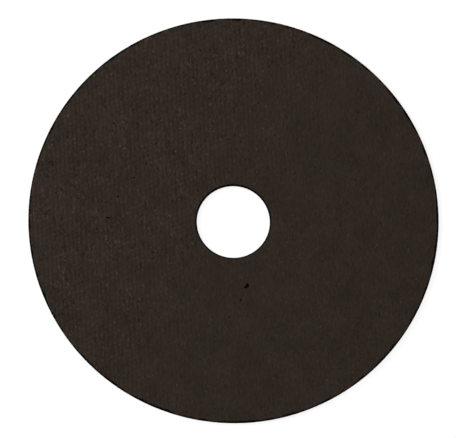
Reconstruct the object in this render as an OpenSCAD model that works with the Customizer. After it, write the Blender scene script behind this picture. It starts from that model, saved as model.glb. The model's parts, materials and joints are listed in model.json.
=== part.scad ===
// Flat cut-off wheel: one pressed disc of bonded abrasive with a plain arbor hole.
// It lies flat, with its axis on +Z and the middle of its back face at the origin.
// All sizes are in millimetres.

/* [Wheel] */
// Outside diameter of the wheel
wheel_d = 125; // [100:1:230]
// Thickness of the wheel, the same from the arbor hole to the rim
wheel_t = 1; // [0.8:0.1:3.2]
// Radius that breaks the two edges of the rim
rim_round = 0.1; // [0.05:0.01:0.3]

/* [Arbor hole] */
// Diameter of the arbor hole
bore_d = 22.23; // [9.5:0.01:25.4]
// Radius that breaks the two edges of the arbor hole
bore_round = 0.05; // [0.02:0.01:0.3]

/* [Pore] */
// Width of the open pore in the front face
pore_w = 1; // [0.4:0.1:1.6]
// Depth of the pore below the front face
pore_depth = 0.3; // [0.1:0.05:0.5]
// Distance from the wall of the arbor hole to the middle of the pore
pore_from_bore = 9.1; // [3:0.1:30]
// Angle of the pore about the axis, counted from +X
pore_turn = -78.5; // [-180:0.5:180]

/* [Hidden] */
$fn = 180;
wheel_r = wheel_d / 2;
bore_r = bore_d / 2;
// Radius of the ball whose cap has the pore's width and depth
pore_ball_r = (pore_w * pore_w / 4 + pore_depth * pore_depth) / (2 * pore_depth);
// The wheel is dark brown, almost black
wheel_colour = [0.18, 0.16, 0.13];

// One end of the half section, with its two corners rounded.
// The end wall is at edge_x, and the strip lies on the side that way gives, 1 for +X or -1 for -X.
module rounded_end(edge_x, way, round_r) {
    corner_x = edge_x + way * round_r;
    for (z = [round_r, wheel_t - round_r])
        translate([corner_x, z])
            circle(r = round_r);
    translate([min(edge_x, corner_x), round_r])
        square([round_r, wheel_t - 2 * round_r]);
}

// Half section of the wheel: a flat strip from the arbor hole to the rim
module half_section() {
    flat_start = bore_r + bore_round;
    flat_end = wheel_r - rim_round;
    rounded_end(bore_r, 1, bore_round);
    rounded_end(wheel_r, -1, rim_round);
    translate([flat_start, 0])
        square([flat_end - flat_start, wheel_t]);
}

// Open pore in the front face, as a shallow round dent
module pore() {
    rotate([0, 0, pore_turn])
        translate([bore_r + pore_from_bore, 0, wheel_t - pore_depth + pore_ball_r])
            sphere(r = pore_ball_r);
}

// The whole wheel: the half section turned about the axis, less the pore
module cut_off_wheel() {
    color(wheel_colour)
        difference() {
            rotate_extrude()
                half_section();
            pore();
        }
}

cut_off_wheel();
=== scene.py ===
"""Looks of a flat cut-off wheel: pressed cloth faces, grainy walls, open pores and a plain studio."""

import json
import logging
import math
from collections.abc import Callable
from dataclasses import dataclass
from enum import Enum
from functools import cached_property
from itertools import pairwise

import bpy
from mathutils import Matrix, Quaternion, Vector


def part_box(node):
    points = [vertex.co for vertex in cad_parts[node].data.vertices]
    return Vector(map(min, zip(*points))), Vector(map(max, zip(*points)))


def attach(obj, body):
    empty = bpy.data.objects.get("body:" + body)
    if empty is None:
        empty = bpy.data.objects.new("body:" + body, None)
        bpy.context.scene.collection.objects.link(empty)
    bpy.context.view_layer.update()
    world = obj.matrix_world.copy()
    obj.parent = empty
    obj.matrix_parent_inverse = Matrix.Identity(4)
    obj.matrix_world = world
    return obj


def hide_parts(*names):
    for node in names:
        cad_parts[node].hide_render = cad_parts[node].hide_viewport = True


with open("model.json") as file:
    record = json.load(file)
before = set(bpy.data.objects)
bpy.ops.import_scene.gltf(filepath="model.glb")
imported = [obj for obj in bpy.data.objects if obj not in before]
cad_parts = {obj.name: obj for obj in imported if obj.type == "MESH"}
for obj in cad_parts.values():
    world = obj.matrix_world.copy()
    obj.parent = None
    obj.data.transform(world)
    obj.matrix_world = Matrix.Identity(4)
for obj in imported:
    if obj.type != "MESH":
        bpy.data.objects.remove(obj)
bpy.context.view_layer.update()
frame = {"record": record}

LOG = logging.getLogger("cut_off_wheel")
MM = 0.001
WHEEL_NODE = "cut_off_wheel"
ARBOR_MOUNT = "arbor_bore"

Colour = tuple[float, float, float]
Point = tuple[float, float, float]
Ring = tuple[float, float]
Socket = bpy.types.NodeSocket
SocketValue = Socket | float | tuple


class Cut(Enum):
    """What a tool does to the piece that it meets."""

    KEEP_INSIDE = "INTERSECT"
    TAKE_AWAY = "DIFFERENCE"


class Side(Enum):
    """A face of the wheel, with the sign of its outward direction along the axis."""

    FRONT = 1
    BACK = -1


class Ends(Enum):
    """Which way the ends of a round tool lean, with the sign of that."""

    IN = -1
    OUT = 1


@dataclass(frozen=True)
class WheelSizes:
    """The wheel's main sizes in metres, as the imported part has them."""

    outer_r: float
    bore_r: float
    thickness: float

    @classmethod
    def from_frame(cls) -> "WheelSizes":
        """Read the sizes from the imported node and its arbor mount.

        Returns:
            The sizes that every piece of this scene is worked out from.
        """
        low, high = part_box(WHEEL_NODE)
        mounts = {mount["name"]: mount for mount in frame["record"]["mounts"]}
        return cls(
            outer_r=(high.x - low.x) / 2,
            bore_r=mounts[ARBOR_MOUNT]["dims"]["r_mm"] * MM,
            thickness=high.z - low.z,
        )


@dataclass(frozen=True)
class ClothWeave:
    """The cloth that is pressed into the faces: rows of thread that dip in steps, as a twill does.

    Three grid steps make one thread's pitch. On the front, three more make one repeat along it, so that
    the dips of the next thread lie one step further along. The print is deepest on one side of the wheel,
    and fades from there across it, in bands. That side faces the key lamp: in the mesh the fade is relief,
    in the faces' colour it is painted sheen, which makes the marks stand out most where the lamp grazes
    them.
    """

    pitch: float = 1.34 * MM
    repeat: float = 1.435 * MM
    lean: float = math.radians(2.4)
    gap_depth: float = 0.06 * MM
    dip_depth: float = 0.03 * MM
    steps: int = 3
    deep_side: tuple[float, float] = (-0.9, 0.44)
    fade_from: float = -14.0 * MM
    fade_to: float = 26.0 * MM
    bands: int = 4

    @property
    def faint_share(self) -> float:
        """Give the print's strength where only the first band presses."""
        return 1 / self.bands

    def band_starts(self) -> list[float]:
        """Give the places, counted towards the deep side, past which each band presses the cloth deeper.

        Returns:
            One place for each band. The first band covers the whole face.
        """
        starts = [-math.inf]
        for band in range(1, self.bands):
            share = (band - 1) / (self.bands - 1)
            starts.append(self.fade_from * (1 - share) + self.fade_to * share)
        return starts


@dataclass(frozen=True)
class Pore:
    """One open pore in the front face, in millimetres and degrees, with its long side turned from +X."""

    x: float
    y: float
    length: float
    width: float
    turn: float
    depth: float


@dataclass(frozen=True)
class RoundWall:
    """A round wall of bare grain: its sides and rows, its edges' radius, its grain's height and seed."""

    segments: int
    rows: int
    edge_r: float
    roughness: float
    seed: int


class NodeBench:
    """Adds nodes to one tree, sets their sockets and links them."""

    MIX_SHARE = 0
    MIX_FIRST = 6
    MIX_SECOND = 7
    MIX_RESULT = 2

    def __init__(self, tree: bpy.types.NodeTree) -> None:
        """Empty a tree and start on it."""
        self.tree = tree
        self.tree.nodes.clear()

    def feed(self, socket: Socket, value: SocketValue) -> None:
        """Link a socket to another one, or set it to a plain value.

        Args:
            socket: The input to fill.
            value: An output socket, a number or a tuple.
        """
        if isinstance(value, Socket):
            self.tree.links.new(value, socket)
        else:
            socket.default_value = value

    def put(self, kind: str, sockets: dict | None = None, **settings: object) -> bpy.types.Node:
        """Add one node.

        Args:
            kind: The node's type name.
            sockets: Values or links for its inputs, by name or number.
            settings: The node's own properties.

        Returns:
            The new node.
        """
        node = self.tree.nodes.new(kind)
        for name, value in settings.items():
            setattr(node, name, value)
        for name, value in (sockets or {}).items():
            self.feed(node.inputs[name], value)
        return node

    def math(self, operation: str, *values: SocketValue) -> Socket:
        """Add a Math node with its inputs in order, and give its result."""
        return self.put("ShaderNodeMath", dict(enumerate(values)), operation=operation).outputs[0]

    def vector(self, operation: str, *values: SocketValue) -> bpy.types.Node:
        """Add a Vector Math node with its inputs in order; its outputs are Vector and Value."""
        return self.put("ShaderNodeVectorMath", dict(enumerate(values)), operation=operation)

    def blend(self, share: SocketValue, first: Socket | Colour, second: Socket | Colour) -> Socket:
        """Mix two colours.

        Args:
            share: How much of the second colour shows.
            first: The first colour.
            second: The second colour.

        Returns:
            The mixed colour's socket.
        """
        sockets = {self.MIX_SHARE: share}
        for number, colour in ((self.MIX_FIRST, first), (self.MIX_SECOND, second)):
            sockets[number] = (*colour, 1.0) if isinstance(colour, tuple) else colour
        return self.put("ShaderNodeMix", sockets, data_type="RGBA").outputs[self.MIX_RESULT]

    def spread(self, value: SocketValue, low: float, high: float) -> Socket:
        """Stretch a value so that low becomes 0 and high becomes 1, with smooth ends."""
        sockets = {"Value": value, "From Min": low, "From Max": high}
        return self.put("ShaderNodeMapRange", sockets, interpolation_type="SMOOTHSTEP").outputs[0]

    def noise(self, place: SocketValue, per_metre: SocketValue, detail: float = 2.0) -> Socket:
        """Add a cloud of noise from 0 to 1, with so many finer layers."""
        sockets = {"Vector": place, "Scale": per_metre, "Detail": detail}
        return self.put("ShaderNodeTexNoise", sockets).outputs[0]

    def squeezed(self, place: SocketValue, share: float) -> Socket:
        """Squeeze coordinates along Y, so that a pattern on them comes out longer that way."""
        return self.put("ShaderNodeMapping", {"Vector": place, "Scale": (1.0, share, 1.0)}).outputs[0]

    def bent(self, place: SocketValue, per_metre: float, reach: tuple[float, float, float]) -> Socket:
        """Bend coordinates with noise that reaches so far along each axis."""
        bends = self.put("ShaderNodeTexNoise", {"Vector": place, "Scale": per_metre})
        return self.vector("MULTIPLY_ADD", bends.outputs["Color"], reach, place).outputs["Vector"]

    def cell_tone(self, cells: bpy.types.Node) -> Socket:
        """Give each Voronoi cell its own tone from 0 to 1, mostly near 0.5 and now and then at an end.

        Args:
            cells: The Voronoi node.

        Returns:
            The tone's socket.
        """
        drawn = self.put("ShaderNodeSeparateColor", {0: cells.outputs["Color"]}).outputs[0]
        offset = self.math("SUBTRACT", drawn, 0.5)
        cube = self.math("MULTIPLY", self.math("MULTIPLY", offset, offset), offset)
        return self.math("MULTIPLY_ADD", cube, 4.0, 0.5)

    @cached_property
    def place(self) -> Socket:
        """Give the piece's own coordinates, in metres."""
        return self.put("ShaderNodeTexCoord").outputs["Object"]

    def surface(self, colour: Socket, roughness: Socket, shine: float, bump: bpy.types.Node) -> None:
        """End a material with its one shader.

        Args:
            colour: The base colour.
            roughness: The roughness.
            shine: How strongly the surface reflects.
            bump: The Bump node that gives the relief.
        """
        sockets = {
            "Base Color": colour,
            "Roughness": roughness,
            "Specular IOR Level": shine,
            "Normal": bump.outputs[0],
        }
        shader = self.put("ShaderNodeBsdfPrincipled", sockets)
        self.put("ShaderNodeOutputMaterial", {"Surface": shader.outputs[0]})


def start_material(name: str) -> tuple[bpy.types.Material, NodeBench]:
    """Make an empty material.

    Args:
        name: The material's name.

    Returns:
        The material, and the bench for its nodes.
    """
    material = bpy.data.materials.new(name)
    material.use_nodes = True
    return material, NodeBench(material.node_tree)


class EffectGroup:
    """A shader node group with named sockets, built once and shared by the finishes."""

    def __init__(self, name: str, inputs: dict[str, str], outputs: dict[str, str]) -> None:
        """Make the empty group and its sockets.

        Args:
            name: The group's name.
            inputs: Socket type by input name.
            outputs: Socket type by output name.
        """
        self.tree = bpy.data.node_groups.new(name, "ShaderNodeTree")
        self.bench = NodeBench(self.tree)
        for direction, sockets in (("INPUT", inputs), ("OUTPUT", outputs)):
            for label, kind in sockets.items():
                self.tree.interface.new_socket(name=label, in_out=direction, socket_type=kind)
        self.given = self.bench.put("NodeGroupInput").outputs
        self.result = self.bench.put("NodeGroupOutput").inputs

    def hand_out(self, **values: Socket) -> None:
        """Link each of the group's outputs to the socket given under its name."""
        for name, value in values.items():
            self.bench.feed(self.result[name], value)

    def place_in(self, bench: NodeBench, sockets: dict) -> bpy.types.Node:
        """Put the group into a material, with values or links for its inputs."""
        return bench.put("ShaderNodeGroup", sockets, node_tree=self.tree)


class ClothMark(EffectGroup):
    """The pressed cloth's pattern: how high its thread lies, and how each thread's tone wanders."""

    SWAYS_PER_METRE = 180.0
    SWAY_SHARE = 0.16
    RIDGE_SHARE = 0.36
    DIP_SHARE = 0.24
    STREAK_STEPS_PER_METRE = 300.0
    STREAK_SCALE = 0.9
    STREAK_DETAIL = 1.0
    FIBRES_PER_METRE = 2800.0
    FIBRE_SQUEEZE = 0.45

    def __init__(self, weave: ClothWeave) -> None:
        """Build the pattern on the weave that the mesh has too.

        Args:
            weave: The cloth's sizes.
        """
        marks = dict.fromkeys(("Thread", "Bead", "Streak", "Fibre"), "NodeSocketFloat")
        super().__init__("cloth_mark", {"Place": "NodeSocketVector"}, marks)
        bench = self.bench
        lean = {"Vector": self.given["Place"], "Rotation": (0.0, 0.0, -weave.lean)}
        turned = bench.put("ShaderNodeMapping", lean).outputs[0]
        axes = bench.put("ShaderNodeSeparateXYZ", {0: turned}).outputs
        sways = bench.noise(turned, self.SWAYS_PER_METRE)
        sway = bench.math("MULTIPLY_ADD", sways, self.SWAY_SHARE, -self.SWAY_SHARE / 2)
        across = bench.math("MULTIPLY_ADD", axes["X"], 1 / weave.pitch, sway)
        thread = bench.math("ROUND", across)
        from_crest = bench.math("SUBTRACT", across, thread)
        ridge = bench.math("COSINE", bench.math("MULTIPLY", from_crest, math.tau))
        shift = bench.math("MULTIPLY", thread, 1 / weave.steps)
        along = bench.math("SUBTRACT", bench.math("MULTIPLY", axes["Y"], 1 / weave.repeat), shift)
        dip = bench.math("COSINE", bench.math("MULTIPLY", along, math.tau))
        dipped = bench.math("MULTIPLY_ADD", dip, -self.DIP_SHARE, 0.5)
        height = bench.math("MULTIPLY_ADD", ridge, self.RIDGE_SHARE, dipped)
        bead_step = bench.math("FLOOR", along)
        bead_place = bench.put("ShaderNodeCombineXYZ", {"X": thread, "Y": bead_step}).outputs[0]
        beads = bench.put("ShaderNodeTexWhiteNoise", {"Vector": bead_place}, noise_dimensions="2D")
        streak_step = bench.math("MULTIPLY", axes["Y"], self.STREAK_STEPS_PER_METRE)
        streak_place = bench.put("ShaderNodeCombineXYZ", {"X": thread, "Y": streak_step}).outputs[0]
        streak = bench.noise(streak_place, self.STREAK_SCALE, self.STREAK_DETAIL)
        fibre_place = bench.squeezed(turned, self.FIBRE_SQUEEZE)
        fibres = bench.put("ShaderNodeTexVoronoi", {"Vector": fibre_place, "Scale": self.FIBRES_PER_METRE})
        fibre = bench.cell_tone(fibres)
        self.hand_out(Thread=height, Bead=beads.outputs[0], Streak=streak, Fibre=fibre)


class AbrasiveGrain(EffectGroup):
    """Crushed grain in resin: a tone for each grain, with dust on it, and the height of its facets."""

    BENDS_PER_GRAIN = 1.6
    BEND_REACH = 0.7
    DUST_PER_GRAIN = 2.3
    DUST_DETAIL = 3.0
    DUST_TONE = 0.5
    GRAIN_TONE = 0.8
    TONE_OFFSET = -0.15
    DUST_HEIGHT = 0.6
    FACET_HEIGHT = 0.6

    def __init__(self) -> None:
        """Build the grain from cells with bent edges, and from finer noise."""
        super().__init__(
            "abrasive_grain",
            {"Place": "NodeSocketVector", "Grains per metre": "NodeSocketFloat"},
            {"Tone": "NodeSocketFloat", "Height": "NodeSocketFloat"},
        )
        bench = self.bench
        place = self.given["Place"]
        per_metre = self.given["Grains per metre"]
        scaled = {0: place, "Scale": per_metre}
        spaced = bench.put("ShaderNodeVectorMath", scaled, operation="SCALE").outputs[0]
        bent = bench.bent(spaced, self.BENDS_PER_GRAIN, (self.BEND_REACH,) * 3)
        cells = bench.put("ShaderNodeTexVoronoi", {"Vector": bent, "Scale": 1.0})
        dust_scale = bench.math("MULTIPLY", per_metre, self.DUST_PER_GRAIN)
        dust = bench.noise(place, dust_scale, self.DUST_DETAIL)
        grain_tone = bench.math("MULTIPLY_ADD", bench.cell_tone(cells), self.GRAIN_TONE, self.TONE_OFFSET)
        tone = bench.math("MULTIPLY_ADD", dust, self.DUST_TONE, grain_tone)
        facet = bench.math("SUBTRACT", 1.0, cells.outputs["Distance"])
        facet_height = bench.math("MULTIPLY", facet, self.FACET_HEIGHT)
        height = bench.math("MULTIPLY_ADD", dust, self.DUST_HEIGHT, facet_height)
        self.hand_out(Tone=tone, Height=height)


@dataclass(frozen=True)
class Patches:
    """Soft patches of noise: how many to a metre, and which stretch of the noise becomes 0 to 1."""

    per_metre: float
    low: float
    high: float

    def mask(self, bench: NodeBench) -> Socket:
        """Lay the patches over a surface."""
        return bench.spread(bench.noise(bench.place, self.per_metre), self.low, self.high)


@dataclass(frozen=True)
class Wander:
    """How an edge wanders: bends to a metre, and how far they reach to either side."""

    per_metre: float
    reach: float

    def offset(self, bench: NodeBench) -> Socket:
        """Give the edge's distance from its true line."""
        bends = bench.noise(bench.place, self.per_metre)
        return bench.math("MULTIPLY_ADD", bends, 2 * self.reach, -self.reach)


@dataclass(frozen=True)
class OddGrains:
    """The few grains that stand out on a face: how small they are, how drawn out, and how many show."""

    per_metre: float = 2600.0
    squeeze: float = 0.8
    light_share: float = 0.0034
    dark_share: float = 0.0026

    def masks(self, bench: NodeBench) -> tuple[Socket, Socket]:
        """Scatter the grains over a face.

        Args:
            bench: The material's bench.

        Returns:
            The masks of the light grains and of the dark ones.
        """
        reach = 0.5 / self.per_metre
        drawn = bench.squeezed(bench.place, self.squeeze)
        bent = bench.bent(drawn, 2 * self.per_metre, (reach, reach, 0.0))
        sockets = {"Vector": bent, "Scale": self.per_metre}
        cells = bench.put("ShaderNodeTexVoronoi", sockets, voronoi_dimensions="2D").outputs
        chance = bench.put("ShaderNodeSeparateColor", {0: cells["Color"]}).outputs[0]
        light = bench.math("GREATER_THAN", chance, 1.0 - self.light_share)
        dark = bench.math("LESS_THAN", chance, self.dark_share)
        return light, dark


@dataclass(frozen=True)
class ClothFinish:
    """The finish of the two faces: dark brown resin on pressed cloth, matte and slightly uneven."""

    name: str = "pressed_cloth_face"
    dark_colour: Colour = (0.0072, 0.0049, 0.0033)
    cool_light: Colour = (0.0730, 0.0568, 0.0447)
    warm_light: Colour = (0.0777, 0.0558, 0.0410)
    warm_patches: Patches = Patches(210.0, 0.3, 0.7)
    thread_share: float = 0.07
    bead_share: float = 0.06
    streak_share: float = 0.09
    fibre_share: float = 0.44
    fibre_patches: Patches = Patches(260.0, 0.32, 0.68)
    blotch_share: float = 0.19
    blotches_per_metre: float = 120.0
    blotch_detail: float = 4.0
    grain_share: float = 0.17
    grains_per_metre: float = 2000.0
    grain_squeeze: float = 0.55
    tone_curve: float = 2.0
    odd_grains: OddGrains = OddGrains()
    odd_faint: float = 0.35
    odd_gain: float = 0.6
    speck_colour: Colour = (0.0540, 0.0414, 0.0324)
    pinhole_colour: Colour = (0.0060, 0.0042, 0.0032)
    # The near-black band along the rim and the hole is painted shade, wider where their edges face away
    # from the key lamp.
    edge_shade_colour: Colour = (0.0004, 0.0003, 0.0002)
    rim_shade_width: float = 0.5 * MM
    rim_shade_centre: Point = (-0.03 * MM, 0.1 * MM, 0.0)
    rim_shade_wander: Wander = Wander(280.0, 0.8 * MM)
    hole_shade_width: float = 0.46 * MM
    hole_shade_centre: Point = (-0.03 * MM, 0.24 * MM, 0.0)
    shade_edge_wander: Wander = Wander(1100.0, 0.15 * MM)
    shade_edge_fade: float = 0.15 * MM
    ridge_relief: float = 0.015 * MM
    grain_relief: float = 0.1 * MM
    roughness: float = 0.9
    grain_gloss: float = 0.15
    shine: float = 0.04

    def make(
        self, sizes: WheelSizes, weave: ClothWeave, cloth: ClothMark, grain: AbrasiveGrain
    ) -> bpy.types.Material:
        """Build the material.

        Args:
            sizes: The wheel's sizes, for the painted shade at the rim and the hole.
            weave: The cloth's sizes.
            cloth: The shared cloth pattern.
            grain: The shared grain.

        Returns:
            The finished material.
        """
        material, bench = start_material(self.name)
        marks = cloth.place_in(bench, {"Place": bench.place})
        grain_place = bench.squeezed(bench.place, self.grain_squeeze)
        grain_sockets = {"Place": grain_place, "Grains per metre": self.grains_per_metre}
        grit = grain.place_in(bench, grain_sockets).outputs
        # print_depth_and_sheen fades away from the key lamp's side: in the bump it is relief, in the
        # colour it is painted sheen.
        print_depth_and_sheen = self._print_depth_and_sheen(bench, weave)
        tone = self._tone(bench, marks, grit["Tone"], print_depth_and_sheen)
        colour = self._colour(bench, tone, print_depth_and_sheen)
        # Painted shade along the rim and the hole.
        colour = bench.blend(self._painted_edge_shade(bench, sizes), colour, self.edge_shade_colour)
        ridge_height = bench.math("MULTIPLY", print_depth_and_sheen, self.ridge_relief)
        ridges = bench.math("MULTIPLY", marks.outputs["Thread"], ridge_height)
        height = bench.math("MULTIPLY_ADD", grit["Height"], self.grain_relief, ridges)
        bump = bench.put("ShaderNodeBump", {"Strength": 1.0, "Distance": 1.0, "Height": height})
        roughness = bench.math("MULTIPLY_ADD", grit["Tone"], -self.grain_gloss, self.roughness)
        bench.surface(colour, roughness, self.shine, bump)
        return material

    def _tone(self, bench: NodeBench, marks: bpy.types.Node, grit: Socket, print_depth_and_sheen: Socket) -> Socket:
        """Add up the cloth's marks, as strong as their print and its painted sheen, and the blotches and
        grain that are all over.

        Args:
            bench: The material's bench.
            marks: The cloth pattern's node.
            grit: The grain's tone.
            print_depth_and_sheen: The strength of the cloth's print, and of the sheen painted with it
                towards the key lamp.

        Returns:
            The share of the light colour.
        """
        fuzz = bench.math("SUBTRACT", marks.outputs["Fibre"], 0.5)
        fuzz = bench.math("MULTIPLY", fuzz, self.fibre_patches.mask(bench))
        printed = self._sum(
            bench,
            (marks.outputs["Thread"], self.thread_share),
            (marks.outputs["Bead"], self.bead_share),
            (marks.outputs["Streak"], self.streak_share),
            (bench.math("ADD", fuzz, 0.5), self.fibre_share),
        )
        blotches = bench.noise(bench.place, self.blotches_per_metre, self.blotch_detail)
        plain = self._sum(bench, (blotches, self.blotch_share), (grit, self.grain_share))
        tone = bench.math("ADD", bench.math("MULTIPLY_ADD", printed, print_depth_and_sheen, plain), 0.5)
        return bench.math("POWER", bench.math("MAXIMUM", tone, 0.0), self.tone_curve)

    @staticmethod
    def _sum(bench: NodeBench, *shares: tuple[Socket, float]) -> Socket:
        """Add up marks that each run from 0 to 1, with 0.5 as their middle.

        Args:
            bench: The material's bench.
            shares: Each mark with its weight.

        Returns:
            The weighted sum, which is 0 where every mark is at its middle.
        """
        total: SocketValue = 0.0
        for mark, share in shares:
            total = bench.math("MULTIPLY_ADD", bench.math("SUBTRACT", mark, 0.5), share, total)
        return total

    def _colour(self, bench: NodeBench, tone: Socket, print_depth_and_sheen: Socket) -> Socket:
        """Colour the tone, and lay the odd grains on it.

        Args:
            bench: The material's bench.
            tone: The share of the light colour.
            print_depth_and_sheen: The strength of the cloth's print and of its painted sheen, where the
                odd grains show most.

        Returns:
            The face's colour inside its margins.
        """
        light = bench.blend(self.warm_patches.mask(bench), self.cool_light, self.warm_light)
        colour = bench.blend(tone, self.dark_colour, light)
        # The odd grains stand out most towards the key lamp: painted sheen.
        shown = bench.math("MULTIPLY_ADD", print_depth_and_sheen, self.odd_gain, self.odd_faint)
        specks, pinholes = self.odd_grains.masks(bench)
        for mask, odd_colour in ((specks, self.speck_colour), (pinholes, self.pinhole_colour)):
            colour = bench.blend(bench.math("MULTIPLY", mask, shown), colour, odd_colour)
        return colour

    @staticmethod
    def _print_depth_and_sheen(bench: NodeBench, weave: ClothWeave) -> Socket:
        """Make the cloth's print fade over the face, as the mesh's relief does; in the colour it is
        painted sheen.

        Args:
            bench: The material's bench.
            weave: The cloth's sizes.

        Returns:
            The strength of the print and of its painted sheen, 1 at its deep side, towards the key lamp.
        """
        towards = bench.vector("DOT_PRODUCT", bench.place, (*weave.deep_side, 0.0)).outputs["Value"]
        rise = bench.spread(towards, weave.fade_from, weave.fade_to)
        return bench.math("MULTIPLY_ADD", rise, 1.0 - weave.faint_share, weave.faint_share)

    def _painted_edge_shade(self, bench: NodeBench, sizes: WheelSizes) -> Socket:
        """Find the near-black band of painted shade along the rim and the hole, wider at the rim's lower
        right and at the hole's upper left, where their edges face away from the key lamp.

        Args:
            bench: The material's bench.
            sizes: The wheel's sizes.

        Returns:
            A mask that is 1 on the painted shade and 0 elsewhere on the face.
        """
        shade_wobble = self.shade_edge_wander.offset(bench)
        rim_r = bench.math("ADD", self._radius(bench, self.rim_shade_centre), shade_wobble)
        rim_r = bench.math("ADD", rim_r, self.rim_shade_wander.offset(bench))
        hole_r = bench.math("ADD", self._radius(bench, self.hole_shade_centre), shade_wobble)
        rim_edge = sizes.outer_r - self.rim_shade_width
        hole_edge = sizes.bore_r + self.hole_shade_width
        at_rim = bench.spread(rim_r, rim_edge - self.shade_edge_fade, rim_edge + self.shade_edge_fade)
        at_hole = bench.spread(hole_r, hole_edge + self.shade_edge_fade, hole_edge - self.shade_edge_fade)
        return bench.math("MAXIMUM", at_rim, at_hole)

    @staticmethod
    def _radius(bench: NodeBench, centre: Point) -> Socket:
        """Measure the distance from a line along the wheel's axis.

        Args:
            bench: The material's bench.
            centre: A point that the line runs through.

        Returns:
            The distance's socket.
        """
        shifted = bench.vector("SUBTRACT", bench.place, centre).outputs["Vector"]
        flat = bench.vector("MULTIPLY", shifted, (1.0, 1.0, 0.0)).outputs["Vector"]
        return bench.vector("LENGTH", flat).outputs["Value"]


@dataclass(frozen=True)
class GrainFinish:
    """The finish of bare abrasive: dark grains of mixed tone, and only the resin colour along the edges,
    as painted shade.
    """

    name: str
    resin_colour: Colour
    grain_colour: Colour
    shine: float
    grains_per_metre: float
    tone_curve: float = 1.6
    edge_shade_reach: float = 0.2 * MM
    relief: float = 0.08 * MM
    relief_strength: float = 0.9
    roughness: float = 0.92
    grain_gloss: float = 0.35

    def make(self, sizes: WheelSizes, grain: AbrasiveGrain) -> bpy.types.Material:
        """Build the material.

        Args:
            sizes: The wheel's sizes, for the painted shade along its edges.
            grain: The shared grain.

        Returns:
            The finished material.
        """
        material, bench = start_material(self.name)
        grain_sockets = {"Place": bench.place, "Grains per metre": self.grains_per_metre}
        grit = grain.place_in(bench, grain_sockets).outputs
        share = bench.math("POWER", bench.math("MAXIMUM", grit["Tone"], 0.0), self.tone_curve)
        # Near each face the grain fades out and only the dark resin colour shows: painted shade along the
        # wall's edges.
        height = bench.put("ShaderNodeSeparateXYZ", {0: bench.place}).outputs["Z"]
        from_middle = bench.math("ABSOLUTE", bench.math("SUBTRACT", height, sizes.thickness / 2))
        edge = sizes.thickness / 2 - self.edge_shade_reach
        share = bench.math("MULTIPLY", share, bench.spread(from_middle, edge + self.edge_shade_reach / 2, edge))
        colour = bench.blend(share, self.resin_colour, self.grain_colour)
        relief = {"Strength": self.relief_strength, "Distance": self.relief, "Height": grit["Height"]}
        roughness = bench.math("MULTIPLY_ADD", grit["Tone"], -self.grain_gloss, self.roughness)
        bench.surface(colour, roughness, self.shine, bench.put("ShaderNodeBump", relief))
        return material


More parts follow.
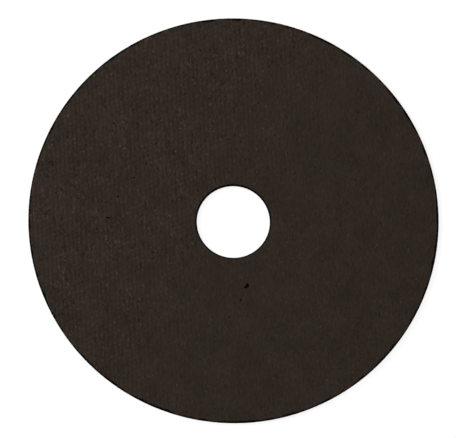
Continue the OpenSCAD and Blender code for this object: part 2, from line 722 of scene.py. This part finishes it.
class Workshop:
    """Plain modelling moves that every piece is made with."""

    @staticmethod
    def only(piece: bpy.types.Object) -> None:
        """Select one object alone and make it the active one.

        Args:
            piece: The object to work on.
        """
        bpy.ops.object.select_all(action="DESELECT")
        piece.select_set(True)
        bpy.context.view_layer.objects.active = piece

    @staticmethod
    def open_mesh(piece: bpy.types.Object, mode: str) -> None:
        """Go into edit mode with nothing selected.

        Args:
            piece: The object to edit.
            mode: VERT, EDGE or FACE selection.
        """
        Workshop.only(piece)
        bpy.ops.object.mode_set(mode="EDIT")
        bpy.ops.mesh.select_mode(type=mode)
        bpy.ops.mesh.select_all(action="DESELECT")

    @staticmethod
    def close_mesh(turn_outwards: bool = False) -> None:
        """Leave edit mode.

        Args:
            turn_outwards: Whether all faces are first turned outwards.
        """
        if turn_outwards:
            bpy.ops.mesh.select_all(action="SELECT")
            bpy.ops.mesh.normals_make_consistent(inside=False)
        bpy.ops.object.mode_set(mode="OBJECT")

    @staticmethod
    def pick_open_edges() -> None:
        """Select the edges that have a face on one side only, in edit mode."""
        bpy.ops.mesh.select_mode(type="EDGE")
        bpy.ops.mesh.select_all(action="DESELECT")
        bpy.ops.mesh.select_non_manifold(
            extend=False,
            use_wire=False,
            use_boundary=True,
            use_multi_face=False,
            use_non_contiguous=False,
            use_verts=False,
        )

    @staticmethod
    def pick_points(piece: bpy.types.Object, chosen: Callable[[Vector], bool]) -> None:
        """Go into edit mode with the points selected that a test picks by their place.

        Args:
            piece: The object to edit.
            chosen: Says whether a point at that place is selected.
        """
        Workshop.open_mesh(piece, "VERT")
        bpy.ops.object.mode_set(mode="OBJECT")
        for point in piece.data.vertices:
            point.select = chosen(point.co)
        bpy.ops.object.mode_set(mode="EDIT")

    @staticmethod
    def move_points(piece: bpy.types.Object, chosen: Callable[[Vector], bool], shift: Vector) -> None:
        """Move the points that a test picks by their place.

        Args:
            piece: The object to edit.
            chosen: Says whether a point at that place moves.
            shift: How far the points move.
        """
        Workshop.pick_points(piece, chosen)
        bpy.ops.transform.translate(value=shift)
        Workshop.close_mesh()

    @staticmethod
    def roughen(
        piece: bpy.types.Object,
        offset: float,
        seed: int,
        chosen: Callable[[Vector], bool] = lambda place: True,
    ) -> None:
        """Push points in and out at random along their normals.

        Args:
            piece: The object to edit.
            offset: The largest push.
            seed: The seed of the random draw.
            chosen: Says whether a point at that place is pushed.
        """
        Workshop.pick_points(piece, chosen)
        bpy.ops.transform.vertex_random(offset=offset, uniform=0.0, normal=1.0, seed=seed)
        Workshop.close_mesh()

    @staticmethod
    def settled(name: str) -> bpy.types.Object:
        """Name the active object, and put its place, turn and scale into its mesh.

        Args:
            name: The object's name.

        Returns:
            The object, at the origin.
        """
        piece = bpy.context.object
        piece.name = name
        piece.data.name = name
        bpy.ops.object.transform_apply(location=True, rotation=True, scale=True)
        return piece

    @staticmethod
    def turn_up(name: str, segments: int, rings: list[Ring]) -> bpy.types.Object:
        """Make a round closed solid by drawing a disc up from ring to ring.

        Args:
            name: The object's name.
            segments: Sides of the round.
            rings: The radius and height of each ring, from the lowest up.

        Returns:
            The new solid.
        """
        bpy.ops.object.select_all(action="DESELECT")
        first_r, first_z = rings[0]
        bpy.ops.mesh.primitive_circle_add(
            vertices=segments, radius=first_r, fill_type="NGON", location=(0, 0, first_z)
        )
        solid = Workshop.settled(name)
        Workshop.open_mesh(solid, "FACE")
        bpy.ops.mesh.select_all(action="SELECT")
        for (r_below, z_below), (r_above, z_above) in pairwise(rings):
            bpy.ops.mesh.extrude_region_move(TRANSFORM_OT_translate={"value": (0, 0, z_above - z_below)})
            widen = r_above / r_below
            bpy.ops.transform.resize(value=(widen, widen, 1), center_override=(0, 0, 0))
        Workshop.close_mesh(turn_outwards=True)
        return solid

    @staticmethod
    def join(pieces: list[bpy.types.Object]) -> bpy.types.Object:
        """Join several objects into the first.

        Args:
            pieces: The objects, of which the first is kept.

        Returns:
            The joined object.
        """
        bpy.ops.object.select_all(action="DESELECT")
        for piece in pieces:
            piece.select_set(True)
        bpy.context.view_layer.objects.active = pieces[0]
        bpy.ops.object.join()
        return pieces[0]

    @staticmethod
    def cut(piece: bpy.types.Object, tool: bpy.types.Object, how: Cut) -> None:
        """Cut a piece with a tool, and throw the tool away.

        Args:
            piece: The object that is cut.
            tool: The closed solid that cuts it, whose finish the cut takes on.
            how: Whether the piece keeps what lies inside the tool, or loses it.
        """
        Workshop.only(piece)
        modifier = piece.modifiers.new(tool.name, "BOOLEAN")
        modifier.operation = how.value
        modifier.solver = "MANIFOLD"
        modifier.object = tool
        modifier.material_mode = "TRANSFER"
        bpy.ops.object.modifier_apply(modifier=modifier.name)
        bpy.data.objects.remove(tool)


@dataclass
class CutOffWheel:
    """The whole wheel as one closed mesh: pressed sheet, turned rim, arbor hole and open pores."""

    sizes: WheelSizes
    weave: ClothWeave
    name: str = "pressed_wheel"
    thread_columns: int = 96
    front_repeats: int = 88
    sheet_roughness: float = 0.006 * MM
    sheet_seed: int = 7
    rim: RoundWall = RoundWall(segments=1200, rows=6, edge_r=0.1 * MM, roughness=0.03 * MM, seed=3)
    bore: RoundWall = RoundWall(segments=240, rows=4, edge_r=0.05 * MM, roughness=0.012 * MM, seed=5)
    tool_margin: float = 0.02 * MM
    edge_share: float = 0.3
    merge_reach: float = 0.002 * MM
    sliver_reach: float = 0.001 * MM
    smooth_angle: float = math.radians(40)
    pores: tuple[Pore, ...] = (
        Pore(4.3, -19.55, 1.4, 1.0, 80.0, 0.42),
        Pore(3.85, -20.0, 1.2, 0.8, 25.0, 0.34),
        Pore(2.2, -24.0, 0.9, 0.4, 95.0, 0.15),
        Pore(-35.1, 7.9, 0.8, 0.65, 20.0, 0.2),
        Pore(-38.2, 1.35, 1.7, 0.5, 3.0, 0.18),
        Pore(-30.2, 13.7, 0.75, 0.6, 60.0, 0.15),
        Pore(-26.5, 18.1, 0.7, 0.5, 80.0, 0.12),
        Pore(-23.4, 24.1, 0.8, 0.5, 10.0, 0.14),
        Pore(-1.3, -29.3, 0.6, 0.45, 30.0, 0.14),
        Pore(-52.6, -1.2, 0.6, 0.45, 70.0, 0.12),
        Pore(-35.6, -11.7, 0.6, 0.45, 15.0, 0.12),
    )
    pore_ball_r: float = 0.5 * MM
    pore_ball_subdivisions: int = 3
    pore_roughness: float = 0.09 * MM
    first_pore_seed: int = 11

    def build(
        self,
        face: bpy.types.Material,
        rim_grain: bpy.types.Material,
        bore_shaded_grain: bpy.types.Material,
        pore_shaded_grain: bpy.types.Material,
    ) -> bpy.types.Object:
        """Model the wheel and dress it.

        Args:
            face: The finish of the pressed faces.
            rim_grain: The finish of the rim.
            bore_shaded_grain: The finish of the arbor hole's wall, darker than the rim's as painted shade.
            pore_shaded_grain: The near-black finish inside the pores, painted shade of their hollows.

        Returns:
            The finished piece.
        """
        wheel = self._pressed_sheet()
        wheel.data.materials.append(face)
        Workshop.cut(wheel, self._rim_die(rim_grain), Cut.KEEP_INSIDE)
        Workshop.cut(wheel, self._arbor_core(bore_shaded_grain), Cut.TAKE_AWAY)
        for lump in self._pore_tools(pore_shaded_grain):
            Workshop.cut(wheel, lump, Cut.TAKE_AWAY)
        self._clean(wheel)
        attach(wheel, "root")
        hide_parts(WHEEL_NODE)
        return wheel

    def _pressed_sheet(self) -> bpy.types.Object:
        """Make the closed square slab that the wheel is cut from.

        Returns:
            The slab, turned so that its threads lean as on the wheel.
        """
        front = self._sheet(Side.FRONT, self.front_repeats * self.weave.steps)
        back = self._sheet(Side.BACK, self.front_repeats)
        slab = Workshop.join([front, back])
        Workshop.open_mesh(slab, "EDGE")
        Workshop.pick_open_edges()
        bpy.ops.mesh.bridge_edge_loops()
        Workshop.close_mesh(turn_outwards=True)
        slab.rotation_euler.z = self.weave.lean
        Workshop.only(slab)
        return Workshop.settled(self.name)

    def _sheet(self, side: Side, rows: int) -> bpy.types.Object:
        """Make one square sheet of pressed cloth, larger than the wheel.

        Args:
            side: The face that the sheet becomes.
            rows: Grid steps along the threads.

        Returns:
            The sheet, with its threads along Y.
        """
        columns = self.thread_columns * self.weave.steps
        width = columns * (self.weave.pitch / self.weave.steps)
        length = self.front_repeats * self.weave.repeat
        inset = self.sheet_roughness
        level = self.sizes.thickness - inset if side is Side.FRONT else inset
        bpy.ops.object.select_all(action="DESELECT")
        bpy.ops.mesh.primitive_grid_add(
            x_subdivisions=columns, y_subdivisions=rows, size=1, location=(0, 0, level)
        )
        bpy.ops.transform.resize(value=(width, length, 1))
        sheet = Workshop.settled(f"{self.name}_{side.name.lower()}")
        for start in self.weave.band_starts():
            self._press(sheet, side, length / rows, start)
        Workshop.roughen(sheet, self.sheet_roughness, self.sheet_seed)
        return sheet

    def _press(self, sheet: bpy.types.Object, side: Side, row_step: float, start: float) -> None:
        """Press one band of the cloth into a sheet: the gaps between threads, and on the front the dips.

        Args:
            sheet: The sheet.
            side: The face that it becomes.
            row_step: The grid's step along the threads.
            start: The place, counted towards the deep side, past which the band presses.
        """
        weave = self.weave
        column_step = weave.pitch / weave.steps
        deep_side = Vector((*weave.deep_side, 0.0))
        inwards = Vector((0, 0, -side.value)) / weave.bands

        def in_gap(place: Vector) -> bool:
            """Say whether a point lies between two threads, and past the start."""
            return round(place.x / column_step) % weave.steps != 0 and place.dot(deep_side) > start

        def in_dip(place: Vector) -> bool:
            """Say whether a point lies where its thread dips, and past the start."""
            steps_along = round(place.y / row_step) - round(place.x / weave.pitch)
            return steps_along % weave.steps == 0 and place.dot(deep_side) > start

        Workshop.move_points(sheet, in_gap, inwards * weave.gap_depth)
        if side is Side.FRONT:
            Workshop.move_points(sheet, in_dip, inwards * weave.dip_depth)

    def _rim_die(self, finish: bpy.types.Material) -> bpy.types.Object:
        """Make the round solid that the wheel is cut out with, whose wall becomes the rim."""
        radius = self.sizes.outer_r - self.rim.roughness
        return self._round_tool("rim_die", self.rim, radius, Ends.IN, finish)

    def _arbor_core(self, finish: bpy.types.Material) -> bpy.types.Object:
        """Make the round solid that the arbor hole is formed around."""
        return self._round_tool("arbor_core", self.bore, self.sizes.bore_r, Ends.OUT, finish)

    def _round_tool(
        self, name: str, wall: RoundWall, radius: float, ends: Ends, finish: bpy.types.Material
    ) -> bpy.types.Object:
        """Make a round solid that runs past both faces, with rounded ends and a grainy wall.

        Args:
            name: The solid's name.
            wall: The sizes of its wall.
            radius: The wall's radius.
            ends: Which way its ends lean.
            finish: The finish that the wall passes on.

        Returns:
            The closed solid.
        """
        top = self.sizes.thickness
        flare = ends.value * wall.edge_r
        share = self.edge_share
        lower = [(radius + flare, -self.tool_margin), (radius + flare * share, wall.edge_r * share)]
        height = top - 2 * wall.edge_r
        straight = [(radius, wall.edge_r + height * row / wall.rows) for row in range(wall.rows + 1)]
        upper = [(ring_r, top - ring_z) for ring_r, ring_z in reversed(lower)]
        tool = Workshop.turn_up(name, wall.segments, lower + straight + upper)
        tool.data.materials.append(finish)
        lowest = -self.tool_margin / 2
        highest = top + self.tool_margin / 2
        Workshop.roughen(tool, wall.roughness, wall.seed, lambda place: lowest < place.z < highest)
        return tool

    def _pore_tools(self, finish: bpy.types.Material) -> list[bpy.types.Object]:
        """Make the lumps that leave the open pores in the front face, each from a ball 1 mm across.

        Args:
            finish: The finish that the lumps pass on.

        Returns:
            One closed lump for each pore.
        """
        lumps = []
        for number, pore in enumerate(self.pores):
            bpy.ops.object.select_all(action="DESELECT")
            bpy.ops.mesh.primitive_ico_sphere_add(
                subdivisions=self.pore_ball_subdivisions,
                radius=self.pore_ball_r,
                location=(pore.x * MM, pore.y * MM, self.sizes.thickness),
                rotation=(0, 0, math.radians(pore.turn)),
            )
            bpy.context.object.scale = (pore.length, pore.width, 2 * pore.depth)
            lump = Workshop.settled(f"pore_{number}")
            lump.data.materials.append(finish)
            Workshop.roughen(lump, self.pore_roughness * pore.width, self.first_pore_seed + number)
            lumps.append(lump)
        return lumps

    def _clean(self, wheel: bpy.types.Object) -> None:
        """Merge slivers that the cuts left, delete what that sets loose, and smooth the shading.

        Args:
            wheel: The cut wheel.
        """
        Workshop.open_mesh(wheel, "VERT")
        bpy.ops.mesh.select_all(action="SELECT")
        bpy.ops.mesh.remove_doubles(threshold=self.merge_reach)
        bpy.ops.mesh.dissolve_degenerate(threshold=self.sliver_reach)
        Workshop.pick_open_edges()
        bpy.ops.mesh.select_mode(type="FACE")
        bpy.ops.mesh.delete(type="FACE")
        bpy.ops.mesh.select_all(action="SELECT")
        bpy.ops.mesh.delete_loose()
        Workshop.close_mesh(turn_outwards=True)
        Workshop.only(wheel)
        bpy.ops.object.shade_smooth_by_angle(angle=self.smooth_angle)


@dataclass(frozen=True)
class PhotoView:
    """The camera's stand, from the outline's ellipse in the photograph's 456 x 438 pixels."""

    image_width_px: float = 456.0
    image_height_px: float = 438.0
    wheel_centre_px: tuple[float, float] = (233.3, 222.1)
    wheel_half_width_px: float = 205.3
    tilt: float = math.radians(9.8)
    turn: float = math.radians(9.1)
    distance: float = 1.6
    sensor_mm: float = 36.0
    clip_start: float = 0.01
    clip_end: float = 20.0

    def make(self, sizes: WheelSizes) -> bpy.types.Object:
        """Set up the camera so that the wheel fills the picture as in the photograph.

        Args:
            sizes: The wheel's sizes.

        Returns:
            The scene's camera.
        """
        metres_per_px = sizes.outer_r / self.wheel_half_width_px
        near = Vector((math.sin(self.turn), math.cos(self.turn), 0.0))
        facing = Quaternion(Vector((-near.y, near.x, 0.0)), self.tilt)
        right_px = self.wheel_centre_px[0] - self.image_width_px / 2
        down_px = self.wheel_centre_px[1] - self.image_height_px / 2
        aim = facing @ Vector((-right_px * metres_per_px, down_px * metres_per_px, 0.0))
        data = bpy.data.cameras.new("photo_camera")
        data.sensor_width = self.sensor_mm
        data.lens = self.sensor_mm * self.distance / (self.image_width_px * metres_per_px)
        data.clip_start = self.clip_start
        data.clip_end = self.clip_end
        camera = bpy.data.objects.new("photo_camera", data)
        camera.rotation_mode = "QUATERNION"
        camera.rotation_quaternion = facing
        middle = Vector((0.0, 0.0, sizes.thickness / 2))
        camera.location = middle + aim + facing @ Vector((0.0, 0.0, self.distance))
        bpy.context.scene.collection.objects.link(camera)
        bpy.context.scene.camera = camera
        return camera


@dataclass(frozen=True)
class SoftLamp:
    """One square studio lamp that faces the wheel."""

    name: str
    place: Point
    side: float
    watts: float

    def make(self) -> None:
        """Hang the lamp and turn it to the wheel."""
        data = bpy.data.lights.new(self.name, "AREA")
        data.shape = "SQUARE"
        data.size = self.side
        data.energy = self.watts
        lamp = bpy.data.objects.new(self.name, data)
        lamp.location = self.place
        lamp.rotation_mode = "QUATERNION"
        lamp.rotation_quaternion = Vector(self.place).to_track_quat("Z", "Y")
        bpy.context.scene.collection.objects.link(lamp)


@dataclass(frozen=True)
class Studio:
    """A white floor and world with soft light, and no other things."""

    floor_side: float = 30.0
    floor_drop: float = 0.02 * MM
    floor_white: Colour = (0.16, 0.16, 0.16)
    near_lift: float = 0.86
    far_lift: float = 0.96
    lift_from: float = 0.07
    lift_to: float = 0.3
    ambient: float = 0.45
    lamps: tuple[SoftLamp, ...] = (
        SoftLamp("key_lamp", (-0.55, 0.3, 0.42), 0.4, 6.4),
        SoftLamp("fill_lamp", (0.5, -0.3, 0.9), 0.8, 0.8),
    )

    def make(self) -> None:
        """Build the floor, the world and the lamps."""
        self._floor()
        self._world()
        for lamp in self.lamps:
            lamp.make()

    @staticmethod
    def _seen(bench: NodeBench) -> Socket:
        """Find the rays that show the background: camera, glossy and transmission rays.

        Args:
            bench: The tree's bench.

        Returns:
            A mask that is 1 for those rays.
        """
        rays = bench.put("ShaderNodeLightPath").outputs
        seen = bench.math("MAXIMUM", rays["Is Camera Ray"], rays["Is Glossy Ray"])
        return bench.math("MAXIMUM", seen, rays["Is Transmission Ray"])

    def _floor(self) -> None:
        """Lay the plain floor that the wheel lies on."""
        bpy.ops.object.select_all(action="DESELECT")
        bpy.ops.mesh.primitive_plane_add(size=self.floor_side, location=(0, 0, -self.floor_drop))
        floor = Workshop.settled("floor")
        material, bench = start_material("white_floor")
        matte = bench.put("ShaderNodeBsdfDiffuse", {"Color": (*self.floor_white, 1.0)})
        away = bench.vector("LENGTH", bench.place).outputs["Value"]
        rise = bench.spread(away, self.lift_from, self.lift_to)
        lift = bench.math("MULTIPLY_ADD", rise, self.far_lift - self.near_lift, self.near_lift)
        lift = bench.math("MULTIPLY", self._seen(bench), lift)
        glow = bench.put("ShaderNodeEmission", {"Strength": lift})
        both = bench.put("ShaderNodeAddShader", {0: matte.outputs[0], 1: glow.outputs[0]})
        bench.put("ShaderNodeOutputMaterial", {"Surface": both.outputs[0]})
        floor.data.materials.append(material)

    def _world(self) -> None:
        """Make the world white where it is seen, and a plain soft light elsewhere."""
        world = bpy.data.worlds.new("studio_world")
        world.use_nodes = True
        bench = NodeBench(world.node_tree)
        strength = bench.math("MULTIPLY_ADD", self._seen(bench), 1.0 - self.ambient, self.ambient)
        white = bench.put("ShaderNodeBackground", {"Color": (1.0, 1.0, 1.0, 1.0), "Strength": strength})
        bench.put("ShaderNodeOutputWorld", {"Surface": white.outputs[0]})
        bpy.context.scene.world = world


def triangles(piece: bpy.types.Object) -> int:
    """Count a mesh piece's triangles."""
    return sum(len(face.vertices) - 2 for face in piece.data.polygons)


def main() -> None:
    """Build the camera, the studio and the wheel in order, and report each piece."""
    logging.basicConfig(level=logging.INFO, format="%(name)s: %(message)s")
    bpy.context.scene.view_settings.view_transform = "Standard"
    sizes = WheelSizes.from_frame()
    camera = PhotoView().make(sizes)
    LOG.info("camera with a lens of %.0f mm", camera.data.lens)
    Studio().make()
    LOG.info("studio with a white floor")
    weave = ClothWeave()
    cloth = ClothMark(weave)
    grain = AbrasiveGrain()
    face = ClothFinish().make(sizes, weave, cloth, grain)
    rim_grain = GrainFinish(
        name="rim_grain",
        resin_colour=(0.003, 0.0022, 0.0016),
        grain_colour=(0.066, 0.052, 0.041),
        shine=0.1,
        grains_per_metre=3000.0,
    )
    # The arbor hole's wall has the rim's grain about three times darker: painted shade.
    bore_shaded_grain = GrainFinish(
        name="bore_shaded_grain",
        resin_colour=(0.001, 0.0007, 0.0005),
        grain_colour=(0.02, 0.015, 0.0115),
        shine=0.06,
        grains_per_metre=3600.0,
    )
    # The pores' grain is near black: painted shade, deeper than their shallow hollows cast.
    pore_shaded_grain = GrainFinish(
        name="pore_shaded_grain",
        resin_colour=(0.0004, 0.0003, 0.0002),
        grain_colour=(0.004, 0.0032, 0.0025),
        shine=0.02,
        grains_per_metre=6000.0,
    )
    walls = [finish.make(sizes, grain) for finish in (rim_grain, bore_shaded_grain, pore_shaded_grain)]
    LOG.info("finishes of the faces, the rim, the arbor hole and the pores")
    wheel = CutOffWheel(sizes, weave).build(face, *walls)
    LOG.info("%s with %d triangles", wheel.name, triangles(wheel))


if __name__ == "__main__":
    main()
